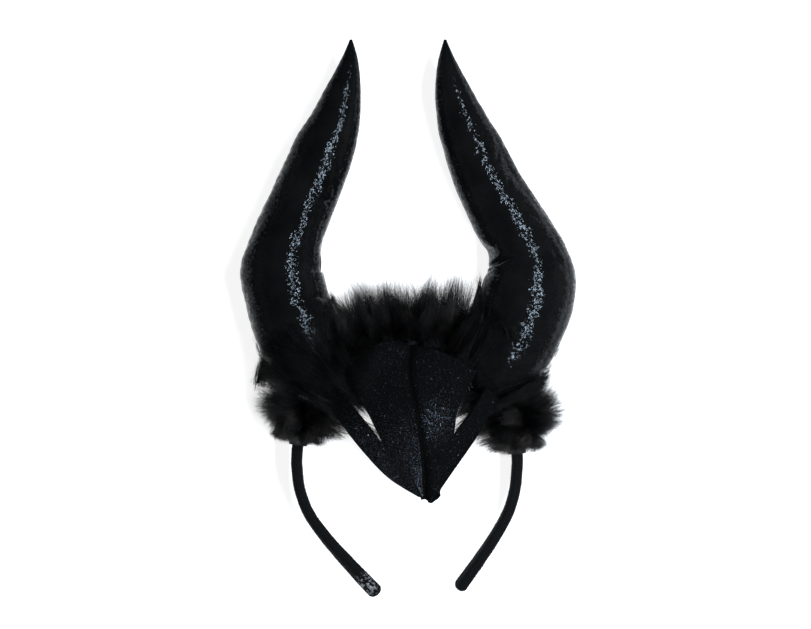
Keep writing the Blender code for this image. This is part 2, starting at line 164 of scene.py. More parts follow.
# edge_out, edge_down, edge_lift, slit_out, slit_down, rim_out, rim_down, rim_lift, as in the part.
LEFT_PANEL_ROWS = (
    (-0.66, 0.180, 0.26, -0.80, 0.280, -0.93, 0.340, 0.08),
    (-0.56, 0.310, 0.38, -0.69, 0.345, -0.81, 0.425, 0.17),
    (-0.43, 0.430, 0.48, -0.54, 0.435, -0.69, 0.530, 0.26),
    (-0.25, 0.645, 0.60, -0.25, 0.645, -0.46, 0.690, 0.44),
    (-0.07, 0.830, 0.84, -0.07, 0.830, -0.20, 0.835, 0.72),
    (0.16, 0.950, 0.99, 0.16, 0.950, 0.12, 0.945, 0.96),
)
RIGHT_PANEL_ROWS = (
    (0.77, 0.165, 0.26, 0.88, 0.270, 1.02, 0.340, 0.08),
    (0.68, 0.260, 0.38, 0.80, 0.345, 0.93, 0.430, 0.17),
    (0.56, 0.410, 0.48, 0.68, 0.450, 0.82, 0.540, 0.26),
    (0.505, 0.585, 0.60, 0.505, 0.585, 0.67, 0.665, 0.44),
    (0.37, 0.780, 0.84, 0.37, 0.780, 0.47, 0.820, 0.72),
    (0.27, 0.985, 0.98, 0.27, 0.985, 0.33, 0.930, 0.95),
)

# What the dressed model adds. A wrinkle runs between two places on a horn, each a share of its length and
# an angle round it (0 outer side, 90 front): along, around, to_along, to_around, deep and wide in mm.
LEFT_WRINKLES = (
    (0.581, 104, 0.566, 126, 0.55, 1.3),
    (0.566, 126, 0.571, 167, 0.65, 1.4),
    (0.679, 127, 0.649, 127, 0.35, 1.3),
    (0.649, 127, 0.584, 151, 0.35, 1.4),
    (0.551, 121, 0.409, 131, 0.30, 1.8),
    (0.409, 131, 0.273, 128, 0.30, 1.8),
    (0.430, 168, 0.370, 166, 0.50, 1.0),
    (0.266, 124, 0.246, 158, 0.45, 1.5),
    (0.228, 144, 0.170, 148, 0.45, 1.5),
    (0.270, 98, 0.245, 118, 0.55, 1.7),
    (0.215, 96, 0.195, 114, 0.50, 1.6),
)
RIGHT_WRINKLES = (
    (0.391, 188, 0.408, 104, 1.10, 1.6),
    (0.366, 182, 0.385, 140, 0.55, 1.2),
    (0.439, 117, 0.424, 94, 0.40, 1.1),
    (0.253, 121, 0.261, 108, 0.45, 1.1),
    (0.300, 76, 0.282, 98, 0.40, 2.2),
    (0.270, 74, 0.256, 96, 0.35, 1.9),
    (0.165, 92, 0.150, 112, 0.45, 1.5),
    (0.409, 57, 0.341, 43, 0.40, 1.8),
    (0.500, 60, 0.455, 46, 0.35, 1.5),
    (0.560, 66, 0.600, 48, 0.35, 1.4),
    (0.640, 62, 0.670, 44, 0.35, 1.4),
)
# Where the seams run round a horn, in degrees.
LEFT_SEAMS = (8.0, 146.0)
RIGHT_SEAMS = (35.0, 140.0)
SEAM_GROOVE = 0.20 * MM
SEAM_GROOVE_WIDE = 1.5 * MM
PUCKER_PITCH = 5.2 * MM
PUCKER_DEEP = 0.08 * MM
SEAM_LEAN = 1.1 * MM
SEAM_HALF_GAP = 0.30 * MM

HORN_RING_COUNT = 280
HORN_SIDE_COUNT = 110
BAND_RING_COUNT = 800
BAND_SIDE_COUNT = 28
BAND_STITCH_PITCH = 2.3 * MM
HAIR_COUNT = 160000
HAIR_STEPS = 5
HAIR_HALF_WIDTH = 0.09 * MM
LOCK_COUNT = 820
VELVET_PILE_COUNT = 14000
VELVET_PILE_LONG = 0.85 * MM
VELVET_PILE_HALF_WIDTH = 0.05 * MM
# The end of the left arm is rubbed grey, and a small knot of pile sits on its outer edge.
WORN_END = (-23.5 * MM, -150.0 * MM, BAND_LIFT + 3 * MM)
PILE_KNOT = (-37.6 * MM, -138.6 * MM, BAND_LIFT + 2 * MM)

# Turns round the band, in degrees: 0 at its right side, 180 at its left.
HAIR_FIRST_TURN, HAIR_LAST_TURN = 8, 168
RIGHT_FOOT_TURN, LEFT_FOOT_TURN, FOOT_REACH_TURN = 40, 140, 34
# Extra pile beside the feet of the horns: turn, to_turn, angle round the band's line, its spread, number.
FUR_FILLS = (
    (108, 132, 0, 35, 3300),
    (50, 68, 0, 35, 2200),
    (56, 74, 70, 30, 2600),
    (144, 168, 5, 40, 3400),
    (16, 36, 20, 40, 4200),
)
# Hairs that show behind the peak: number, start, its spread, end, shade, lowest and highest, in mm.
TUFTS_BEHIND_PEAK = (
    (110, (-31, -57), (5, 3), (-10, -69), 1.0, 10, 20),
    (110, (41, -56), (5, 3), (22, -67), 1.0, 10, 20),
    (700, (41, -40), (5, 3), (27, -50), 0.2, 10, 20),
    (500, (-50, -52), (5, 4), (-42, -34), 0.1, 2, 9),
    (500, (-83, -36), (4, 4), (-78, -15), 0.1, 2, 9),
    (1000, (43, -51), (5, 4), (35, -28), 0.1, 1.5, 6.5),
    (500, (68, -38), (4, 4), (80, -31), 0.2, 10, 20),
)
# Hairs that fall over the upper left edge of the peak start along this line and aim at one place, in mm.
OVER_PEAK_COUNT = 1500
OVER_PEAK_LINE = ((-24, -11.5), (-29, -16), (-34, -24), (-37.5, -31), (-36.5, -37), (-34, -42))
OVER_PEAK_AIM = (-4.0, -36.0)
FUR_PIECES = ("right_end", "right", "middle", "left", "left_end")

LEFT_GLITTER_COUNT = 8000
RIGHT_GLITTER_COUNT = 2600
# Extra flakes paint the felt's glint under the light: below this height on the left panel and round this
# place on the right one.
LEFT_PAINTED_GLINT_STARTS_Y = -48 * MM
RIGHT_PAINTED_GLINT_PATCH = (15.4 * MM, -55.8 * MM)
RIGHT_PAINTED_GLINT_PATCH_WIDE = 9 * MM


def smooth_values(rows, per_row):
    """Catmull-Rom values through the rows, per_row of them to each gap, the last row included."""
    rows = np.array(rows, dtype=float)
    held = np.concatenate([rows[:1], rows, rows[-1:]])
    a, b, c, d = (held[k : k + len(rows) - 1, None] for k in range(4))
    t = (np.arange(per_row) / per_row)[:, None]
    curve = 2 * b + (c - a) * t + (2 * a - 5 * b + 4 * c - d) * t * t + (3 * b - a - 3 * c + d) * t**3
    return np.concatenate([0.5 * curve.reshape(-1, rows.shape[1]), rows[-1:]])


def evenly_spaced(points, count):
    """count points at equal distances along a line of points that each start with x, y."""
    lengths = np.concatenate([[0], np.cumsum(np.hypot(*np.diff(points[:, :2], axis=0).T))])
    wanted = np.linspace(0, lengths[-1], count)
    return np.stack([np.interp(wanted, lengths, column) for column in points.T], axis=1)


def unit(vectors):
    return vectors / np.linalg.norm(vectors, axis=-1, keepdims=True)


def bell(values, middle, wide):
    """1 at the middle value, falling smoothly to 0 on both sides."""
    return np.exp(-(((values - middle) / wide) ** 2))


def noise_at(points, size, seed=0.0):
    """Smooth noise from -1 to 1 at each point, with lumps of about the given size."""
    flat = points.reshape(-1, 3) / size + seed
    return np.array([noise.noise(p) for p in flat]).reshape(points.shape[:-1])


def scene_mesh(name, points, faces, uv=None):
    """A mesh of triangles from arrays."""
    mesh = bpy.data.meshes.new(name)
    faces = np.ascontiguousarray(faces, dtype=np.int32)
    mesh.vertices.add(len(points))
    mesh.vertices.foreach_set("co", np.ascontiguousarray(points, dtype=np.float32).ravel())
    mesh.loops.add(faces.size)
    mesh.loops.foreach_set("vertex_index", faces.ravel())
    mesh.polygons.add(len(faces))
    mesh.polygons.foreach_set("loop_start", np.arange(0, faces.size, 3, dtype=np.int32))
    mesh.update(calc_edges=True)
    if uv is not None:
        layer = mesh.uv_layers.new(name="UVMap")
        layer.data.foreach_set("uv", uv[faces.ravel()].astype(np.float32).ravel())
    mesh.shade_smooth()
    return mesh


def add_object(name, data):
    obj = bpy.data.objects.new(name, data)
    bpy.context.scene.collection.objects.link(obj)
    return obj


def add_piece(name, form, made_of, stands_for=()):
    """A piece of the model from its points, triangles and UVs."""
    obj = add_object(name, scene_mesh(name, *form))
    obj.data.materials.append(made_of)
    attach(obj, "root")
    if stands_for:
        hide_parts(*stands_for)
    return obj


def face_crosses(corners):
    """A vector square to each triangle, as long as twice its area."""
    return np.cross(corners[:, 1] - corners[:, 0], corners[:, 2] - corners[:, 0])


def facing_out(points, faces):
    """The faces, turned round if they enclose a negative volume."""
    corners = points[faces]
    volume = np.einsum("ij,ij->i", corners[:, 0], np.cross(corners[:, 1], corners[:, 2])).sum()
    return faces if volume > 0 else faces[:, ::-1]


def tube(rings, looped=False):
    """Points, triangles and UVs of a tube through rings, closed by a fan at each end unless looped."""
    n, m = rings.shape[:2]
    points = rings.reshape(-1, 3)
    i = np.arange(n if looped else n - 1)[:, None]
    j = np.arange(m)[None, :]
    a, b = i * m + j, i * m + (j + 1) % m
    d, c = ((i + 1) % n) * m + j, ((i + 1) % n) * m + (j + 1) % m
    faces = np.concatenate([np.stack([a, b, c], -1), np.stack([a, c, d], -1)]).reshape(-1, 3)
    u = np.tile(np.arange(m) / m, n)
    v = np.repeat(np.arange(n) / (n - 1), m)
    uv = np.stack([u, v], -1)
    if not looped:
        k = np.arange(m)
        low = np.stack([(k + 1) % m, k, np.full(m, n * m)], -1)
        high = np.stack([(n - 1) * m + k, (n - 1) * m + (k + 1) % m, np.full(m, n * m + 1)], -1)
        faces = np.concatenate([faces, low, high])
        points = np.concatenate([points, rings[0].mean(0)[None], rings[-1].mean(0)[None]])
        uv = np.concatenate([uv, [[0.5, 0.0], [0.5, 1.0]]])
    return points, facing_out(points, faces), uv


def baked(obj):
    """The object's mesh with its modifiers applied."""
    graph = bpy.context.evaluated_depsgraph_get()
    mesh = bpy.data.meshes.new_from_object(obj.evaluated_get(graph))
    obj.modifiers.clear()
    old = obj.data
    obj.data = mesh
    bpy.data.meshes.remove(old)
    return mesh


def mesh_points(mesh):
    flat = np.empty(len(mesh.vertices) * 3, np.float32)
    mesh.vertices.foreach_get("co", flat)
    return flat.reshape(-1, 3).astype(float)


# Materials


class Shader:
    """A material and short calls for its nodes."""

    def __init__(self, name, roughness, specular=0.5, metallic=0.0):
        self.material = bpy.data.materials.new(name)
        self.material.use_nodes = True
        self.tree = self.material.node_tree
        self.bsdf = self.tree.nodes["Principled BSDF"]
        self.set("Roughness", roughness)
        self.set("Specular IOR Level", specular)
        self.set("Metallic", metallic)

    def set(self, socket, value):
        self.bsdf.inputs[socket].default_value = value

    def node(self, kind, inputs=(), **settings):
        made = self.tree.nodes.new(kind)
        for key, value in settings.items():
            setattr(made, key, value)
        for key, value in dict(inputs).items():
            if isinstance(value, bpy.types.NodeSocket):
                self.tree.links.new(value, made.inputs[key])
            else:
                made.inputs[key].default_value = value
        return made

    def place(self):
        return self.node("ShaderNodeTexCoord").outputs["Object"]

    def noise(self, size, detail):
        inputs = {"Vector": self.place(), "Scale": 1 / size, "Detail": detail}
        return self.node("ShaderNodeTexNoise", inputs).outputs["Fac"]

    def ramp(self, value, *stops):
        made = self.node("ShaderNodeValToRGB", {"Fac": value})
        elements = made.color_ramp.elements
        while len(elements) < len(stops):
            elements.new(0.5)
        for element, (at, colour) in zip(elements, stops):
            element.position = at
            element.color = (*(colour if len(colour) == 3 else colour * 3), 1.0)
        return made.outputs["Color"]

    def mix(self, share, one, two, kind="MIX"):
        made = self.node("ShaderNodeMix", data_type="RGBA", blend_type=kind)
        for socket, value in ((made.inputs[0], share), (made.inputs[6], one), (made.inputs[7], two)):
            if isinstance(value, bpy.types.NodeSocket):
                self.tree.links.new(value, socket)
            else:
                socket.default_value = value
        return made.outputs[2]

    def math(self, kind, one, two):
        return self.node("ShaderNodeMath", {0: one, 1: two}, operation=kind).outputs[0]

    def vector(self, kind, one, two=(0, 0, 0)):
        return self.node("ShaderNodeVectorMath", {0: one, 1: two}, operation=kind).outputs[0]

    def spread(self, *value_and_limits):
        """A value between two limits, spread over two others."""
        names = ("Value", "From Min", "From Max", "To Min", "To Max")
        return self.node("ShaderNodeMapRange", zip(names, value_and_limits)).outputs[0]

    def uv(self):
        made = self.node("ShaderNodeUVMap", uv_map="UVMap")
        return self.node("ShaderNodeSeparateXYZ", {"Vector": made.outputs["UV"]}).outputs

    def bump(self, height, distance, strength):
        inputs = {"Height": height, "Distance": distance, "Strength": strength}
        return self.node("ShaderNodeBump", inputs).outputs[0]

    def wire(self, value, socket):
        self.tree.links.new(value, self.bsdf.inputs[socket])


def foil_cloth():
    """Black cloth with a pressed foil face: fine facets break each highlight into specks."""
    s = Shader("black foil cloth", 0.10, 0.06)
    s.set("Specular Tint", (0.80, 0.90, 1.0, 1.0))
    patches = s.noise(0.020, 4.0)
    black = s.ramp(patches, (0.30, (0.0015, 0.0015, 0.0016)), (0.75, (0.0036, 0.0036, 0.0037)))
    s.wire(black, "Base Color")
    s.wire(s.spread(s.noise(0.006, 3.0), 0.3, 0.7, 0.06, 0.11), "Roughness")
    normal = s.bump(s.noise(0.0040, 3.0), 0.00035, 0.6)
    for size, tilt in ((0.00095, 0.20), (0.00050, 0.08)):
        cells = s.node("ShaderNodeTexVoronoi", {"Vector": s.place(), "Scale": 1 / size})
        lean = s.vector("SUBTRACT", cells.outputs["Color"], (0.5, 0.5, 0.5))
        lean = s.vector("MULTIPLY", lean, (tilt, tilt, tilt))
        normal = s.vector("NORMALIZE", s.vector("ADD", normal, lean))
    s.wire(normal, "Normal")
    return s.material


def velvet():
    """Black velvet that wraps the band, rubbed grey at the end of the left arm."""
    s = Shader("black velvet", 0.85, 0.05)
    s.set("Sheen Weight", 0.06)
    s.set("Sheen Roughness", 0.45)
    s.set("Sheen Tint", (0.5, 0.5, 0.55, 1.0))
    pile = s.noise(0.0009, 4.0)
    black = s.ramp(pile, (0.30, (0.0008,)), (0.75, (0.0033, 0.0033, 0.0035)))
    apart = s.node("ShaderNodeVectorMath", {0: s.place(), 1: WORN_END}, operation="DISTANCE")
    near = s.spread(apart.outputs["Value"], 0.0035, 0.0085, 1.0, 0.0)
    patchy = s.ramp(s.noise(0.0016, 4.0), (0.50, (0.0,)), (0.62, (1.0,)))
    rubbed = s.math("MULTIPLY", near, patchy)
    s.wire(s.mix(rubbed, black, (0.20, 0.20, 0.21, 1.0)), "Base Color")
    s.wire(s.bump(pile, 0.00025, 0.8), "Normal")
    return s.material


def fur_strands():
    """Black hair: u is its own shade, v runs from root to tip."""
    s = Shader("black fur", 0.50, 0.06)
    uv = s.uv()
    # Near black for most of the hair and lighter towards the tip: the lighter tips are partly the hair's
    # own tone and partly a painted sheen of lit fur.
    along = s.ramp(
        uv["Y"],
        (0.0, (0.0005,)),
        (0.55, (0.0007,)),
        (1.0, (0.0140, 0.0136, 0.0140)),
    )
    brown = s.ramp(
        uv["X"], (0.45, (0.55, 0.55, 0.56)), (0.70, (1.0,)), (1.0, (5.5, 4.9, 4.4))
    )
    s.wire(s.mix(1.0, along, brown, "MULTIPLY"), "Base Color")
    return s.material


def knit_backing():
    """The knitted back that the pile is fixed to."""
    s = Shader("black fur backing", 0.9, 0.2)
    knit = s.ramp(s.noise(0.0012, 4.0), (0.3, (0.001, 0.001, 0.0011)), (0.7, (0.005,)))
    s.wire(knit, "Base Color")
    s.wire(s.bump(s.noise(0.0007, 2.0), 0.0003, 0.8), "Normal")
    return s.material


def glitter_felt():
    """Pressed black felt with matted fibres, and a painted shadow beside the seam."""
    s = Shader("black felt", 0.85, 0.02)
    s.set("Sheen Weight", 0.004)
    s.set("Sheen Roughness", 0.5)
    s.set("Sheen Tint", (0.6, 0.6, 0.62, 1.0))
    fibres = s.noise(0.0006, 5.0)
    cloudy = s.noise(0.014, 3.0)
    base = s.ramp(fibres, (0.30, (0.0004,)), (0.72, (0.0018, 0.0017, 0.0018)))
    shade = s.ramp(cloudy, (0.30, (0.65, 0.65, 0.66)), (0.70, (1.15, 1.18, 1.25)))
    # Painted shadow beside the seam: the felt is darker the nearer it lies to the seam; u is the distance
    # from it.
    pressed = s.ramp(s.uv()["X"], (0.0, (0.15,)), (0.22, (0.40,)), (0.60, (1.0,)))
    clouded = s.mix(1.0, base, shade, "MULTIPLY")
    s.wire(s.mix(1.0, clouded, pressed, "MULTIPLY"), "Base Color")
    s.wire(s.bump(fibres, 0.00030, 0.9), "Normal")
    return s.material


def glitter():
    """Small dark foil flakes in a few faint hues."""
    s = Shader("black glitter", 0.30, 0.5, 0.9)
    hues = s.ramp(
        s.noise(0.0012, 1.0),
        (0.30, (0.03, 0.04, 0.07)),
        (0.45, (0.04, 0.06, 0.07)),
        (0.55, (0.07, 0.07, 0.08)),
        (0.70, (0.07, 0.06, 0.08)),
    )
    s.wire(hues, "Base Color")
    return s.material


def pale_floor():
    s = Shader("pale floor", 0.9, 0.1)
    s.wire(s.ramp(s.noise(0.30, 3.0), (0.3, (0.30, 0.30, 0.302)), (0.7, (0.33, 0.33, 0.332))), "Base Color")
    s.set("Emission Color", (1.0, 1.0, 1.0, 1.0))
    s.set("Emission Strength", 0.88)
    return s.material


# Headband


def band_point(angle):
    x, y = BAND_HALF_WIDTH * np.cos(angle), BAND_LINE_Y + BAND_RISE * np.sin(angle)
    return np.stack([x, y, np.full(np.shape(angle), BAND_LIFT)], -1)


def band_line(count):
    """x, y, twist along the whole band, from the left arm's end to the right arm's."""
    arms = []
    for side, drop, draw, twist in (
        (-1, LEFT_ARM_DROP, LEFT_ARM_DRAW, LEFT_ARM_TWIST),
        (1, RIGHT_ARM_DROP, RIGHT_ARM_DRAW, RIGHT_ARM_TWIST),
    ):
        down, inward = smooth_values(ARM_ROWS, 30).T
        x = side * (BAND_HALF_WIDTH - draw * inward)
        arms.append(np.stack([x, BAND_LINE_Y - drop * down, side * twist * down**2], -1))
    crown = band_point(np.linspace(math.pi, 0, 200)[1:-1])
    crown[:, 2] = 0.0
    return evenly_spaced(np.concatenate([arms[0][::-1], crown, arms[1]]), count)


def band_rings(line, sides, grow=0.0, share=1.0, shift=0.0):
    """Rounded oblongs round the band's line. share shrinks them, and shift moves them along the line."""
    along = np.gradient(line[:, :2], axis=0)
    along = unit(np.column_stack([along, np.zeros(len(line))]))
    across = np.column_stack([along[:, 1], -along[:, 0], np.zeros(len(line))])
    twist = line[:, 2:3]
    up = np.array([[0.0, 0.0, 1.0]])
    turned = across * np.cos(twist) + up * np.sin(twist)
    deep = up * np.cos(twist) - across * np.sin(twist)
    angle = 2 * np.pi * (np.arange(sides) + 0.5) / sides
    c, s = np.cos(angle), np.sin(angle)
    a = np.sign(c) * np.abs(c) ** 0.72
    b = np.sign(s) * np.abs(s) ** 0.72
    centre = np.column_stack([line[:, :2], np.full(len(line), BAND_LIFT)]) + along * shift
    thick, tall = BAND_THICKNESS / 2 * share + grow, BAND_DEPTH / 2 * share + grow
    return centre[:, None] + turned[:, None] * a[:, None] * thick + deep[:, None] * b[:, None] * tall


def make_band():
    line = band_line(BAND_RING_COUNT)
    first, last = [], []
    # Rings that shrink and move outward round the ends.
    for turn in np.radians(np.linspace(6, 78, 9)):
        share, shift = np.cos(turn), ARM_END_ROUND * np.sin(turn)
        first.insert(0, band_rings(line[:2], BAND_SIDE_COUNT, share=share, shift=-shift)[0])
        last.append(band_rings(line[-2:], BAND_SIDE_COUNT, share=share, shift=shift)[1])
    rings = np.concatenate([first, band_rings(line, BAND_SIDE_COUNT), last])
    middle = rings.mean(1, keepdims=True)
    outward = unit(rings - middle)
    length = np.concatenate([[0], np.cumsum(np.linalg.norm(np.diff(middle[:, 0], axis=0), axis=1))])
    angle = 2 * np.pi * (np.arange(BAND_SIDE_COUNT) + 0.5) / BAND_SIDE_COUNT
    # The cloth is drawn tight at each stitch of the seams along the two front edges.
    pull = np.cos(2 * np.pi * length / BAND_STITCH_PITCH)[:, None]
    edges = bell(angle, np.radians(48), 0.35) + bell(angle, np.radians(132), 0.35)
    swell = 0.09 * MM * pull * edges[None, :]
    swell += 0.10 * MM * noise_at(rings, 5 * MM) + 0.06 * MM * noise_at(rings, 1.1 * MM, 7.0)
    from_knot = np.linalg.norm(rings - np.array(PILE_KNOT), axis=-1)
    swell += 0.8 * MM * bell(from_knot, 0, 1.6 * MM)
    return tube(rings + outward * swell[..., None])


# Horns


def horn_axis(side, rows, count):
    """Centre, radius, direction, outer direction and share of the length along a horn."""
    seat = band_point(np.array(HORN_BASE_ANGLE if side > 0 else math.pi - HORN_BASE_ANGLE))
    out, up, wide = smooth_values(rows, 30).T
    line = evenly_spaced(
        np.stack([seat[0] + side * HORN_SWEEP * out, seat[1] + HORN_HEIGHT * up, HORN_RADIUS * wide], -1),
        count,
    )
    share = np.linspace(0, 1, count)
    along = np.gradient(line[:, :2], axis=0)
    along = unit(np.column_stack([along, np.zeros(count)]))
    outer = np.column_stack([along[:, 1], -along[:, 0], np.zeros(count)]) * side
    centre = np.column_stack([line[:, :2], BAND_LIFT + HORN_CURL * share**3])
    return centre, line[:, 2], along, outer, share


def seam_pull(around, arc_radius, length_at, seams):
    """The groove of each seam and the puckers beside it."""
    pull = np.zeros(around.shape)
    for number, seam in enumerate(seams):
        across = np.radians(around - seam) * arc_radius
        pull -= SEAM_GROOVE * bell(across, 0, SEAM_GROOVE_WIDE)
        wander = length_at / PUCKER_PITCH + 0.35 * np.sin(length_at / (11 * MM) + number)
        ripple = np.cos(2 * np.pi * wander)
        pull += PUCKER_DEEP * ripple * bell(np.abs(across), 2.2 * MM, 2.4 * MM)
    return pull


def wrinkle_pull(along, around, arc_radius, length, wrinkles):
    """A valley along each wrinkle, with a lip on either side."""
    pull = np.zeros(around.shape)
    for from_along, from_around, to_along, to_around, deep, wide in wrinkles:
        mid = (from_around + to_around) / 2
        x = np.radians(around - mid) * arc_radius
        y = along * length
        ax, ay = np.radians(from_around - mid) * arc_radius, from_along * length
        bx, by = np.radians(to_around - mid) * arc_radius, to_along * length
        dx, dy = bx - ax, by - ay
        t = np.clip(((x - ax) * dx + (y - ay) * dy) / (dx**2 + dy**2), 0, 1)
        apart = np.hypot(x - ax - t * dx, y - ay - t * dy) / (wide * MM)
        fade = deep * MM * np.sin(np.pi * np.clip(t, 0.04, 0.96)) ** 0.7
        pull += fade * (0.45 * bell(apart, 2.0, 1.0) - bell(apart, 0.0, 1.0))
    return pull


def horn_rings(centre, outer, around, radius):
    """Rings of places at angles round a horn, at a radius from its centre line."""
    angle = np.radians(around)
    across, rise = np.cos(angle) * radius, np.sin(angle) * radius * HORN_DEPTH_SHARE
    return centre[:, None] + outer[:, None] * across[..., None] + np.array([0, 0, 1.0]) * rise[..., None]


def make_horn(side, rows, folds, wrinkles, seams):
    centre, radius, _, outer, share = horn_axis(side, rows, HORN_RING_COUNT)
    length = np.linalg.norm(np.diff(centre, axis=0), axis=1).sum()
    around = (360 * np.arange(HORN_SIDE_COUNT) / HORN_SIDE_COUNT)[None, :] + np.zeros((len(share), 1))
    along = share[:, None] + np.zeros_like(around)
    here = radius[:, None] + np.zeros_like(around)
    depth = np.zeros_like(around)
    for at, turned, deep, long, wide in folds:
        depth += deep * bell(along, at, long) * bell((around - turned + 180) % 360 - 180, 0, wide)
    here -= np.minimum(HORN_RADIUS * depth, here / 3)
    base = horn_rings(centre, outer, around, here)
    arc_radius = np.maximum(radius[:, None], 3 * MM)
    skin = wrinkle_pull(along, around, arc_radius, length, wrinkles)
    skin += seam_pull(around, arc_radius, along * length, seams)
    skin += 0.50 * MM * noise_at(base, 17 * MM, 3.0 * side)
    skin += 0.22 * MM * noise_at(base, 6 * MM, 9.0 * side)
    skin += 0.08 * MM * noise_at(base, 2.4 * MM, 5.0 * side)
    here += skin * np.minimum(radius[:, None] / (12 * MM), 1)
    rings = horn_rings(centre, outer, around, np.maximum(here, 0.3 * MM))
    rings[..., 2] = np.maximum(rings[..., 2], 0.0)
    return tube(rings)


def clear_of_band(obj):
    """Cuts the band's room out of the foot of a horn."""
    points, faces, _ = tube(band_rings(band_line(160), 24, GAP + 0.1 * MM))
    cutter = add_object("band room", scene_mesh("band room", points, faces))
    boolean = obj.modifiers.new("clear of band", "BOOLEAN")
    boolean.operation = "DIFFERENCE"
    boolean.solver = "EXACT"
    boolean.object = cutter
    mesh = baked(obj)
    bpy.data.objects.remove(cutter)
    return mesh


HORN_GUIDES = [
    (centre, radius, along[0])
    for centre, radius, along, _, _ in (
        horn_axis(-1, LEFT_HORN_ROWS, 90),
        horn_axis(1, RIGHT_HORN_ROWS, 90),
    )
]


def against_horns(points, clearance):
    """Each point moved out to a horn's skin if it is inside the horn, and how deep it was."""
    moved = points.reshape(-1, 3).copy()
    clearance = np.broadcast_to(clearance, points.shape[:-1]).ravel()
    deepest = np.zeros(len(moved))
    stretch = np.array([1.0, 1.0, 1 / HORN_DEPTH_SHARE])
    for centre, radius, first_along in HORN_GUIDES:
        for start in range(0, len(moved), 40000):
            part = slice(start, start + 40000)
            offset = (moved[part, None, :] - centre[None]) * stretch
            apart = np.linalg.norm(offset, axis=-1)
            nearest = np.argmin(apart - radius[None], axis=1)
            row = np.arange(len(nearest))
            distance = np.maximum(apart[row, nearest], 1e-6)
            wanted = radius[nearest] + clearance[part]
            beyond = (offset[:, 0] @ first_along) < -0.7 * MM
            inside = (distance < wanted) & ~beyond
            push = offset[row, nearest] / distance[:, None] * wanted[:, None] / stretch
            fresh = centre[nearest] + push
            moved[part] = np.where(inside[:, None], fresh, moved[part])
            deepest[part] = np.maximum(deepest[part], np.where(inside, wanted - distance, 0))
    return moved.reshape(points.shape), deepest.reshape(points.shape[:-1])


# Peak


def seam_places(out, down, lift):
    crown_y = BAND_LINE_Y + BAND_RISE
    base = BAND_LIFT + BAND_DEPTH / 2 + PEAK_TOP_CLEARANCE + PEAK_FELT
    return np.stack(
        [PEAK_HALF_WIDTH * out, crown_y - PEAK_TOP_DROP - PEAK_LENGTH * down, base + PEAK_LIFT * lift], -1
    )


def panel_lines(side, rows, per_row, inner, strap):
    """Rows of points over a panel's front: the turned-in edge and the panel to its slit, and the strap."""
    seam = smooth_values(SEAM_ROWS, per_row)
    values = smooth_values(rows, per_row)
    ridge = seam_places(*seam.T) + np.array([side * SEAM_HALF_GAP, 0, 0])
    edge = seam_places(values[:, 0], values[:, 1], values[:, 2])
    slit = seam_places(values[:, 3], values[:, 4], values[:, 2])
    rim = seam_places(values[:, 5], values[:, 6], values[:, 7])
    share = np.linspace(0, 1, inner + 1)[None, :, None]
    panel = ridge[:, None] * (1 - share) + edge[:, None] * share
    arch = np.sin(np.pi * share[..., 0])
    top_arch = LEFT_TOP_ARCH if side < 0 else RIGHT_TOP_ARCH
    panel[..., 2] += PEAK_CROWN * PEAK_LIFT * arch * seam[:, 2:3]
    panel[..., 1] += top_arch * PEAK_LENGTH * arch * np.maximum(0.0, 1 - 3 * seam[:, 1:2])
    # The two turned-in edges lean the same way, so that no light comes up between them.
    turned = np.stack(
        [ridge + np.array([SEAM_LEAN * k, 0, -SEAM_ALLOWANCE * k]) for k in (1.0, 0.66, 0.33)], axis=1
    )
    panel = np.concatenate([turned, panel], axis=1)
    share = np.linspace(0, 1, strap + 1)[None, :, None]
    return panel, slit[:, None] * (1 - share) + rim[:, None] * share


def make_panel(name, node, side, rows, made_of):
    per_row, inner, strap = 18, 26, 7
    panel, strips = panel_lines(side, rows, per_row, inner, strap)
    meets = next(i for i, row in enumerate(rows) if row[:2] == row[3:5]) * per_row
    points, faces, ids = [], [], []
    for i, (row, strip) in enumerate(zip(panel, strips)):
        own = list(range(len(points), len(points) + len(row)))
        # Below the place where the slit ends, the strap starts at the panel's own edge.
        joint = [own[-1]] if i >= meets else []
        points += [*row, *strip[len(joint) :]]
        ids.append((own, joint + list(range(own[-1] + 1, len(points)))))
    for one, two in zip(ids, ids[1:]):
        for above, below in zip(one, two):
            for k in range(len(above) - 1):
                a, b, c, d = above[k], below[k], below[k + 1], above[k + 1]
                faces += [(a, b, c), (a, c, d)]
    points, faces = np.array(points), np.array(faces)
    if side < 0:
        faces = faces[:, ::-1]
    widths = np.linalg.norm(np.diff(panel, axis=1), axis=2).sum(1)
    widths += np.linalg.norm(np.diff(strips, axis=1), axis=2).sum(1)
    # The felt is not quite even.
    points[:, 2] += 0.25 * MM * noise_at(points, 11 * MM, 2.0 * side)
    # u is the distance from the seam, which the felt's material turns into a painted shadow: a broad band
    # on the right panel and a thin dark line on the left one.
    uv = np.ones((len(points), 2))
    for i, (own, _) in enumerate(ids):
        apart = np.linalg.norm(panel[i] - panel[i, 3], axis=1)
        apart[:3] = 0
        near = apart / (9 * MM) if side > 0 else 0.15 + apart / (3 * MM)
        uv[own, 0] = np.clip(near, 0, 1)
        uv[own, 1] = i / (len(ids) - 1)
    obj = add_piece(name, (points, faces, uv), made_of, (node,))
    shell = obj.modifiers.new("felt", "SOLIDIFY")
    shell.thickness = PEAK_FELT
    shell.offset = -1
    shell.use_even_offset = True
    mesh = baked(obj)
    mesh.shade_smooth()
    mesh.set_sharp_from_angle(angle=math.radians(50))
    return obj, points, faces


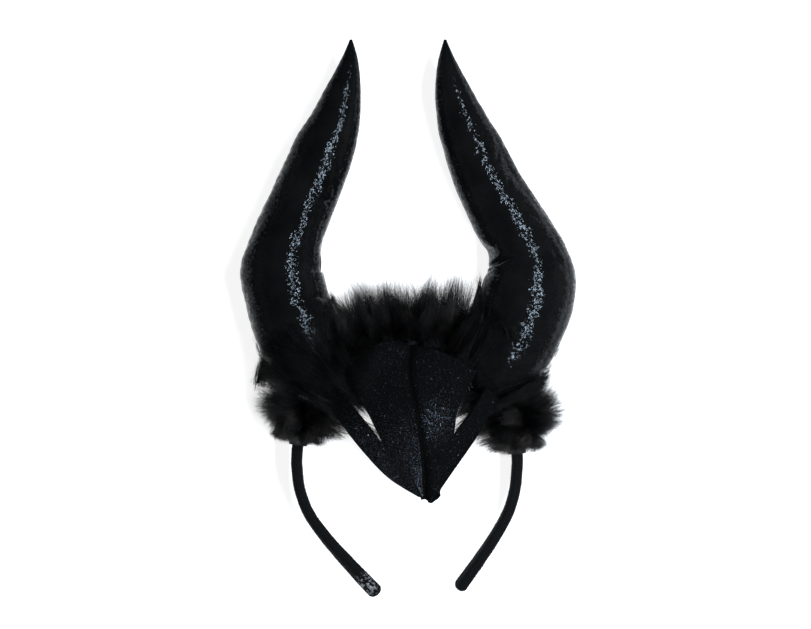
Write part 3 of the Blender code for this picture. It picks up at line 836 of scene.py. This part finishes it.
class PeakMap:
    """The lowest and highest places of the peak over the floor, with a margin round it."""

    def __init__(self, panels, step=0.5 * MM, margin=1.8 * MM):
        self.step = step
        self.x0, self.y0 = -52 * MM, -104 * MM
        self.nx, self.ny = int(108 * MM / step), int(98 * MM / step)
        low = np.full((self.nx, self.ny), np.inf)
        high = np.full((self.nx, self.ny), -np.inf)
        for obj in panels:
            points = [Vector(p) for p in mesh_points(obj.data)]
            tree = BVHTree.FromPolygons(points, [tuple(p.vertices) for p in obj.data.polygons])
            for i in range(self.nx):
                for k in range(self.ny):
                    x, y = self.x0 + i * step, self.y0 + k * step
                    hit = tree.ray_cast(Vector((x, y, 0)), Vector((0, 0, 1)))[0]
                    if hit is not None:
                        low[i, k] = min(low[i, k], hit.z)
                        top = tree.ray_cast(Vector((x, y, 0.1)), Vector((0, 0, -1)))[0]
                        high[i, k] = max(high[i, k], top.z)
        reach = int(round(margin / step))
        self.low, self.high = low.copy(), high.copy()
        for i in range(-reach, reach + 1):
            for k in range(-reach, reach + 1):
                if i * i + k * k <= reach * reach:
                    self.low = np.minimum(self.low, np.roll(low, (i, k), (0, 1)))
                    self.high = np.maximum(self.high, np.roll(high, (i, k), (0, 1)))

    def cells(self, points):
        i = np.clip(((points[..., 0] - self.x0) / self.step).round().astype(int), 0, self.nx - 1)
        k = np.clip(((points[..., 1] - self.y0) / self.step).round().astype(int), 0, self.ny - 1)
        return i, k

    def under(self, points):
        return self.low[self.cells(points)]

    def over(self, points):
        return self.high[self.cells(points)]


# Fur


def fur_places(turn, around, reach):
    """Places on the fur at turns round the band and angles round its line, both in degrees."""
    rows = np.array(FUR_ROWS)[::-1]
    held = np.clip(turn, rows[0, 0], rows[-1, 0])
    index = np.clip(np.searchsorted(rows[:, 0], held, side="right") - 1, 0, len(rows) - 2)
    share = (held - rows[index, 0]) / (rows[index + 1, 0] - rows[index, 0])
    eased = share * share * (3 - 2 * share)
    out, inward, front = (
        rows[index, c] + (rows[index + 1, c] - rows[index, c]) * eased for c in (1, 2, 3)
    )
    angle = np.radians(turn)
    outward = unit(
        np.stack([np.cos(angle) / BAND_HALF_WIDTH, np.sin(angle) / BAND_RISE, np.zeros_like(angle)], -1)
    )
    across, rise = np.cos(np.radians(around)), np.sin(np.radians(around))
    wide = np.where(across > 0, out, inward)
    places = band_point(angle) + outward * (across * wide * FUR_PILE * reach)[..., None]
    places[..., 2] += rise * front * FUR_PILE * reach
    return places


def near_end(turn, wide):
    """1 at the two ends of the strip of fur, falling to 0 away from them."""
    return bell(turn, 168, wide) + bell(turn, 7, wide)


def make_hairs(chance, peak_map):
    """Points of every hair from root to tip, its turn round the band, and its own shade."""
    lock_turn = chance.uniform(2, 174, LOCK_COUNT)
    lock_around = chance.uniform(0, 360, LOCK_COUNT)
    lock_lean = np.stack([chance.normal(0, 3.2, LOCK_COUNT), chance.normal(0, 10, LOCK_COUNT)], -1)
    lock_reach = chance.uniform(0.92, 1.10, LOCK_COUNT)
    lock_shade = chance.uniform(0, 1, LOCK_COUNT)
    tree = kdtree.KDTree(LOCK_COUNT * 3)
    per_turn, per_around = 1.2, 0.42
    for n in range(LOCK_COUNT):
        for k in (-1, 0, 1):
            tree.insert((lock_turn[n] * per_turn, (lock_around[n] + 360 * k) * per_around, 0), n)
    tree.balance()

    turn = chance.uniform(HAIR_FIRST_TURN, HAIR_LAST_TURN, HAIR_COUNT)
    around = chance.uniform(0, 360, HAIR_COUNT)
    likely = 0.34 + 0.66 * np.clip(0.5 + 0.75 * np.cos(np.radians(around - 62)), 0, 1)
    # The pile is thin in front of the band beside the right horn, where the velvet shows.
    likely *= 1 - 0.80 * bell(turn, 62, 11) * bell(around, 98, 40)
    keep = chance.uniform(0, 1, HAIR_COUNT) < likely
    fill_turn, fill_around = [], []
    for first, last, middle, spread, number in FUR_FILLS:
        fill_turn.append(chance.uniform(first, last, number))
        fill_around.append(chance.normal(middle, spread, number) % 360)
    turn = np.concatenate([turn[keep], *fill_turn])
    around = np.concatenate([around[keep], *fill_around])
    count = len(turn)
    nearest = np.array(
        [tree.find((t * per_turn, a * per_around, 0))[1] for t, a in zip(turn, around)]
    )
    apart_around = (around - lock_around[nearest] + 180) % 360 - 180
    apart_turn = turn - lock_turn[nearest]
    spread = chance.uniform(0.30, 0.85, count)
    tip_turn = turn + lock_lean[nearest, 0] - apart_turn * (1 - spread) + chance.normal(0, 0.9, count)
    tip_around = around + lock_lean[nearest, 1] - apart_around * (1 - spread) + chance.normal(0, 4, count)
    # At the two ends of the strip the hairs lean out along the band.
    tip_turn += 7 * bell(turn, 166, 10) - 5 * bell(turn, 9, 9)
    first_turn, last_turn = 4.5 + chance.uniform(0, 2.5, count), 170.5 - chance.uniform(0, 2.5, count)
    tip_turn = np.clip(tip_turn, first_turn, last_turn)
    short = chance.uniform(0, 1, count) < 0.22
    tip = lock_reach[nearest] * (1.09 - 0.36 * chance.uniform(0, 1, count))
    tip = np.where(short, tip * chance.uniform(0.62, 0.9, count), tip)
    stray = chance.uniform(0, 1, count) < 0.015
    tip = np.where(stray, tip * 1.10, tip)
    tip *= 1 + 0.14 * bell(turn, 160, 14) + 0.07 * bell(turn, 84, 22)
    root = chance.uniform(0.10, 0.40, count)

    # A hair over the foot of a horn starts on the horn, and lies along it.
    blocked = np.zeros(count, bool)
    left_apart, right_apart = np.abs(turn - LEFT_FOOT_TURN), np.abs(turn - RIGHT_FOOT_TURN)
    close = (left_apart < FOOT_REACH_TURN) | (right_apart < FOOT_REACH_TURN)
    index = np.flatnonzero(close)
    for reach in np.linspace(0.12, 0.92, 9):
        places = fur_places(turn[index], around[index], np.full(len(index), reach))
        _, depth = against_horns(places, 0.0)
        hit = index[depth > 0]
        root[hit] = np.maximum(root[hit], reach + 0.06)
        blocked[hit] = True
    over_foot = blocked & (around > 15) & (around < 165) & (root > 0.5)
    side = np.where(chance.uniform(0, 1, count) < 0.8, 0.0, 180.0)
    lie = chance.uniform(0.35, 0.8, count)
    tip_around = np.where(over_foot, tip_around + (side - tip_around) * lie, tip_around)
    tip = np.where(over_foot, np.maximum(tip, 0.95), tip)
    # The right horn's foot lies in front of the pile.
    bare_foot = blocked & (turn > 33) & (turn < 56) & (around > 32) & (around < 150) & (root > 0.5)
    keep = (root < tip - 0.08) & ~bare_foot
    turn, around, tip_turn, tip_around, root, tip, nearest = (
        v[keep] for v in (turn, around, tip_turn, tip_around, root, tip, nearest)
    )
    count = len(turn)

    t = np.linspace(0, 1, HAIR_STEPS)[None, :]
    lean = t**1.35
    places = fur_places(
        turn[:, None] + (tip_turn - turn)[:, None] * lean,
        around[:, None] + (tip_around - around)[:, None] * lean,
        root[:, None] + (tip - root)[:, None] * t,
    )
    curl = unit(chance.normal(0, 1, (count, 3)))
    sway = unit(chance.normal(0, 1, (count, 3)))
    places += curl[:, None] * (t**2 * 1.3 * MM)[..., None]
    places += sway[:, None] * (np.sin(t * 2.6 * np.pi) * 0.35 * MM)[..., None]

    places, _ = against_horns(places, chance.uniform(0.5, 2.2, count)[:, None] * MM)
    low = peak_map.under(places) - chance.uniform(0.5, 3.0, count)[:, None] * MM
    pressed = np.maximum(places[..., 2] - low, 0).max(1)
    places[..., 2] = np.maximum(np.minimum(places[..., 2], low), 0.25 * MM)
    middle = (places[:, 1:] + places[:, :-1]) / 2
    _, depth = against_horns(np.concatenate([places, middle], axis=1), 0.0)
    length = np.linalg.norm(np.diff(places, axis=1), axis=2).sum(1)
    keep = (depth.max(1) < 0.9 * MM) & (pressed < 16 * MM) & (length > 2.5 * MM) & (length < 60 * MM)
    shade = 0.50 * lock_shade[nearest] + 0.35 * chance.uniform(0, 1, count)
    shade += 0.45 * np.clip(near_end(turn, 15) + 0.85 * bell(around, 190, 55), 0, 1)
    shade += 0.40 * bell(turn, 92, 28) * bell((around + 180) % 360 - 180, 0, 55)
    shade *= np.where(root > 0.5, 0.35, 1.0)
    return places[keep], turn[keep], np.clip(shade, 0, 1)[keep]


def hairs_over_peak(chance, peak_map):
    """Hairs from the fur that fall over the upper left edge of the peak."""
    count = OVER_PEAK_COUNT
    edge = np.array(OVER_PEAK_LINE) * MM
    at = chance.uniform(0, len(edge) - 1, count)
    k = np.minimum(at.astype(int), len(edge) - 2)
    start = edge[k] + (edge[k + 1] - edge[k]) * (at - k)[:, None]
    start += chance.normal(0, 2.0 * MM, (count, 2))
    aim = np.array(OVER_PEAK_AIM) * MM - start + chance.normal(0, 9 * MM, (count, 2))
    aim /= np.linalg.norm(aim, axis=1, keepdims=True)
    long = chance.uniform(7, 17, count) * MM
    t = np.linspace(0, 1, HAIR_STEPS)[None, :, None]
    flat = start[:, None] + aim[:, None] * long[:, None, None] * t
    rise = 33 * MM + chance.uniform(-4, 4, count)[:, None] * MM + 9 * MM * t[..., 0] ** 1.2
    bend = chance.normal(0, 1.6 * MM, (count, 2))[:, None] * t**2
    places = np.concatenate([flat + bend, rise[..., None]], axis=-1)
    over = peak_map.over(places) + chance.uniform(0.4, 2.4, count)[:, None] * MM
    places[..., 2] = np.maximum(places[..., 2], over)
    low = places[..., 2].max(1) < 48 * MM
    return places[low], np.full(low.sum(), 124.0), chance.uniform(0, 0.7, low.sum())


def hairs_behind_peak(chance, peak_map):
    """Hairs behind the slits and the corners of the peak: brown ones low down, black ones above."""
    made, shades = [], []
    for count, start, spread, aim, brown, low, high in TUFTS_BEHIND_PEAK:
        start, spread, aim = (np.array(pair) * MM for pair in (start, spread, aim))
        first = start + chance.normal(0, 1, (count, 2)) * spread * 0.6
        last = aim + chance.normal(0, 1, (count, 2)) * spread * 0.5
        t = np.linspace(0, 1, HAIR_STEPS)[None, :, None]
        bend = chance.normal(0, 1.2 * MM, (count, 1, 2)) * np.sin(np.pi * t)
        flat = first[:, None] + (last - first)[:, None] * t + bend
        rise = np.repeat(chance.uniform(low, high, (count, 1, 1)) * MM, HAIR_STEPS, axis=1)
        places = np.concatenate([flat, rise], axis=-1)
        places[..., 2] = np.minimum(places[..., 2], peak_map.under(places) - 0.8 * MM)
        made.append(places)
        shades.append(np.clip(chance.uniform(brown - 0.2, brown + 0.1, count), 0, 1))
    places, depth = against_horns(np.concatenate(made), 0.6 * MM)
    clear = depth.max(1) < 4 * MM
    return places[clear], np.full(clear.sum(), 90.0), np.concatenate(shades)[clear]


def ribbons(places, shade, chance, half_width):
    """A thin tapered blade along each hair, ending in a point."""
    count, steps = places.shape[:2]
    along = unit(np.gradient(places, axis=1))
    side = unit(np.cross(along, unit(chance.normal(0, 1, (count, 3)))[:, None]))
    t = np.linspace(0, 1, steps)
    width = half_width * (1 - 0.80 * t)[None, :, None]
    left = places - side * width
    right = places + side * width
    body = np.stack([left[:, :-1], right[:, :-1]], axis=2).reshape(count, -1, 3)
    points = np.concatenate([body, places[:, -1:]], axis=1)
    per = points.shape[1]
    quads = []
    for k in range(steps - 2):
        a, b, c, d = 2 * k, 2 * k + 1, 2 * k + 3, 2 * k + 2
        quads += [(a, b, c), (a, c, d)]
    last = 2 * (steps - 2)
    quads.append((last, last + 1, last + 2))
    faces = (np.arange(count)[:, None, None] * per + np.array(quads)[None]).reshape(-1, 3)
    v = np.concatenate([np.repeat(t[:-1], 2), [1.0]])
    uv = np.stack([np.repeat(shade, per), np.tile(v, count)], -1)
    return points.reshape(-1, 3), faces, uv


def make_backing():
    """The strip that the pile grows from, wrapped round the band between and beside the horns."""
    turns = np.linspace(171, 5, 340)
    angle = np.radians(turns)
    line = band_point(angle)
    line[:, 2] = 0.0
    outer = band_rings(line, 28, 1.9 * MM)
    _, depth = against_horns(outer, 0.8 * MM)
    clear = depth.max(1) == 0
    inner = band_rings(line, 28, 0.6 * MM)
    pieces = []
    for run in np.split(np.arange(len(turns)), np.flatnonzero(np.diff(clear)) + 1):
        if clear[run[0]] and len(run) > 8:
            ruffle = outer[run] + 0.25 * MM * noise_at(outer[run], 3 * MM)[..., None]
            pieces.append(tube(np.concatenate([ruffle, inner[run][::-1]]), looped=True))
    return pieces


def joined(parts):
    points, faces, uvs, shift = [], [], [], 0
    for one_points, one_faces, one_uv in parts:
        points.append(one_points)
        faces.append(one_faces + shift)
        uvs.append(one_uv)
        shift += len(one_points)
    return np.concatenate(points), np.concatenate(faces), np.concatenate(uvs)


def scattered(points, faces, weight, count, chance):
    """Places spread over triangles in proportion to their area and weight, and the normals there."""
    corners = points[faces]
    normal = face_crosses(corners)
    area = np.linalg.norm(normal, axis=1)
    normal = normal / np.maximum(area, 1e-15)[:, None]
    odds = area * weight
    picked = chance.choice(len(faces), count, p=odds / odds.sum())
    a, b = chance.uniform(0, 1, count), chance.uniform(0, 1, count)
    over = a + b > 1
    a, b = np.where(over, 1 - a, a), np.where(over, 1 - b, b)
    corner = corners[picked]
    one, two = corner[:, 1] - corner[:, 0], corner[:, 2] - corner[:, 0]
    place = corner[:, 0] + one * a[:, None] + two * b[:, None]
    return place, normal[picked]


def flakes(place, normal, size, tilt, chance):
    """A small six-sided flake at each place, tilted a little from the surface."""
    count = len(place)
    facing = unit(normal + chance.normal(0, tilt, (count, 3)))
    one = unit(np.cross(facing, unit(chance.normal(0, 1, (count, 3)))))
    two = np.cross(facing, one)
    turns = 2 * np.pi * np.arange(6)[:, None] / 6
    reach = one[:, None] * np.cos(turns) + two[:, None] * np.sin(turns)
    ring = place[:, None] + reach * size[:, None, None]
    fan = np.array([(0, 1, 2), (0, 2, 3), (0, 3, 4), (0, 4, 5)])
    faces = (np.arange(count)[:, None, None] * 6 + fan[None]).reshape(-1, 3)
    return ring.reshape(-1, 3), faces


def velvet_pile(points, faces, chance):
    """Short leaning blades that stand on a surface."""
    count = VELVET_PILE_COUNT
    place, normal = scattered(points, faces, np.ones(len(faces)), count, chance)
    lean = unit(normal + chance.normal(0, 0.55, (count, 3)))
    tips = place + lean * (VELVET_PILE_LONG * chance.uniform(0.5, 1.0, count))[:, None]
    side = unit(np.cross(lean, unit(chance.normal(0, 1, (count, 3))))) * VELVET_PILE_HALF_WIDTH
    made = np.stack([place - side, place + side, tips], axis=1).reshape(-1, 3)
    uv = np.tile([[0.5, 0.0], [0.5, 0.0], [0.5, 1.0]], (count, 1))
    return made, np.arange(count * 3).reshape(-1, 3), uv


# The model

chance = np.random.default_rng(11)
FOIL = foil_cloth()
VELVET = velvet()
FUR = fur_strands()
FELT = glitter_felt()
GLITTER = glitter()
BACKING = knit_backing()

band = make_band()
add_piece("headband_velvet", band, VELVET, ("headband",))
add_piece("headband_pile", velvet_pile(*band[:2], chance), VELVET)

for name, side, rows, folds, wrinkles, seams in (
    ("horn_left", -1, LEFT_HORN_ROWS, LEFT_HORN_FOLDS, LEFT_WRINKLES, LEFT_SEAMS),
    ("horn_right", 1, RIGHT_HORN_ROWS, RIGHT_HORN_FOLDS, RIGHT_WRINKLES, RIGHT_SEAMS),
):
    cover = make_horn(side, rows, folds, wrinkles, seams)
    horn = add_piece(name + "_cover", cover, FOIL, (name,))
    clear_of_band(horn)

panels = []
for name, node, side, rows in (
    ("peak_left_felt", "peak_left_panel", -1, LEFT_PANEL_ROWS),
    ("peak_right_felt", "peak_right_panel", 1, RIGHT_PANEL_ROWS),
):
    obj, points, faces = make_panel(name, node, side, rows, FELT)
    panels.append(obj)
    middle = points[faces].mean(1)
    up = face_crosses(points[faces])[:, 2]
    front = (up * np.sign(np.median(up)) > 0).astype(float)
    # Beyond a thin spread all over, the flakes lie thick where the felt glints most under the light, so the
    # extra flakes paint that glint; none lie beside the seam, where the felt carries a painted shadow.
    if side < 0:
        count, bare_in_seam_shadow = LEFT_GLITTER_COUNT, 0.8 * MM
        dense = 0.10 + np.clip((LEFT_PAINTED_GLINT_STARTS_Y - middle[:, 1]) / (30 * MM), 0, 1)
    else:
        count, bare_in_seam_shadow = RIGHT_GLITTER_COUNT, 3.5 * MM
        from_patch = np.linalg.norm(middle[:, :2] - np.array(RIGHT_PAINTED_GLINT_PATCH), axis=1)
        dense = 0.10 + 1.1 * bell(from_patch, 0, RIGHT_PAINTED_GLINT_PATCH_WIDE)
    ridge = seam_places(*smooth_values(SEAM_ROWS, 18).T)
    apart = np.abs(middle[:, 0] - np.interp(-middle[:, 1], -ridge[:, 1], ridge[:, 0]))
    dense *= np.clip((apart - 0.8 * MM) / bare_in_seam_shadow, 0, 1)
    place, normal = scattered(points, faces, dense * front, count, chance)
    normal = normal * np.sign(normal[:, 2:3])
    size = chance.uniform(0.06, 0.14, len(place)) * MM
    made = flakes(place + normal * 0.06 * MM, normal, size, 0.30, chance)
    add_piece(name + "_glitter", made, GLITTER)

peak_map = PeakMap(panels)
hairs, hair_turn, hair_shade = (
    np.concatenate(both)
    for both in zip(
        make_hairs(chance, peak_map),
        hairs_over_peak(chance, peak_map),
        hairs_behind_peak(chance, peak_map),
    )
)
cuts = np.quantile(hair_turn, np.linspace(0, 1, len(FUR_PIECES) + 1))
for number, part in enumerate(FUR_PIECES):
    own = hair_turn >= cuts[number]
    if number < len(FUR_PIECES) - 1:
        own &= hair_turn < cuts[number + 1]
    made = ribbons(hairs[own], hair_shade[own], chance, HAIR_HALF_WIDTH)
    add_piece("fur_pile_" + part, made, FUR, ("fur_trim",))
add_piece("fur_backing", joined(make_backing()), BACKING)

# The floor, the lights and the camera


def add_light(name, place, aim, size, radiance, colour=(1, 1, 1)):
    light = bpy.data.lights.new(name, "AREA")
    light.shape = "RECTANGLE"
    light.size, light.size_y = size
    light.energy = radiance * size[0] * size[1] * math.pi
    light.color = colour
    obj = add_object(name, light)
    obj.location = place
    obj.rotation_euler = (Vector(aim) - Vector(place)).to_track_quat("-Z", "Y").to_euler()
    obj.visible_camera = False


floor_points = np.array([(-4, -4, 0), (4, -4, 0), (4, 4, 0), (-4, 4, 0)], float)
floor = add_object("floor", scene_mesh("floor", floor_points, np.array([(0, 1, 2), (0, 2, 3)])))
floor.data.materials.append(pale_floor())

BLUE_WHITE = (0.80, 0.90, 1.0)
add_light("strip", (0.212, 0.02, 0.56), (0.212, 0.02, 0.0), (0.028, 0.70), 195.0, BLUE_WHITE)
for name, place, radiance in (
    ("right", (1.25, 0.10, 0.42), 0.6),
    ("left", (-1.25, 0.10, 0.55), 0.35),
    ("far", (0.0, 1.35, 0.55), 0.35),
    ("near", (0.0, -1.35, 0.55), 0.4),
):
    add_light(name, place, (0.0, 0.0, 0.02), (1.5, 0.55), radiance)

world = bpy.data.worlds.new("studio")
bpy.context.scene.world = world
world.use_nodes = True
background = world.node_tree.nodes["Background"]
seen = world.node_tree.nodes.new("ShaderNodeLightPath")
level = world.node_tree.nodes.new("ShaderNodeMapRange")
level.inputs["To Min"].default_value = 0.08
level.inputs["To Max"].default_value = 1.0
world.node_tree.links.new(seen.outputs["Is Camera Ray"], level.inputs["Value"])
world.node_tree.links.new(level.outputs[0], background.inputs["Strength"])
background.inputs["Color"].default_value = (1.0, 1.0, 1.0, 1.0)

camera_data = bpy.data.cameras.new("camera")
camera_data.lens = 84.8
camera_data.sensor_width = 36.0
camera = add_object("camera", camera_data)
camera.location = (-0.00084, 0.00224, 1.092)
bpy.context.scene.camera = camera
bpy.context.scene.view_settings.view_transform = "Standard"
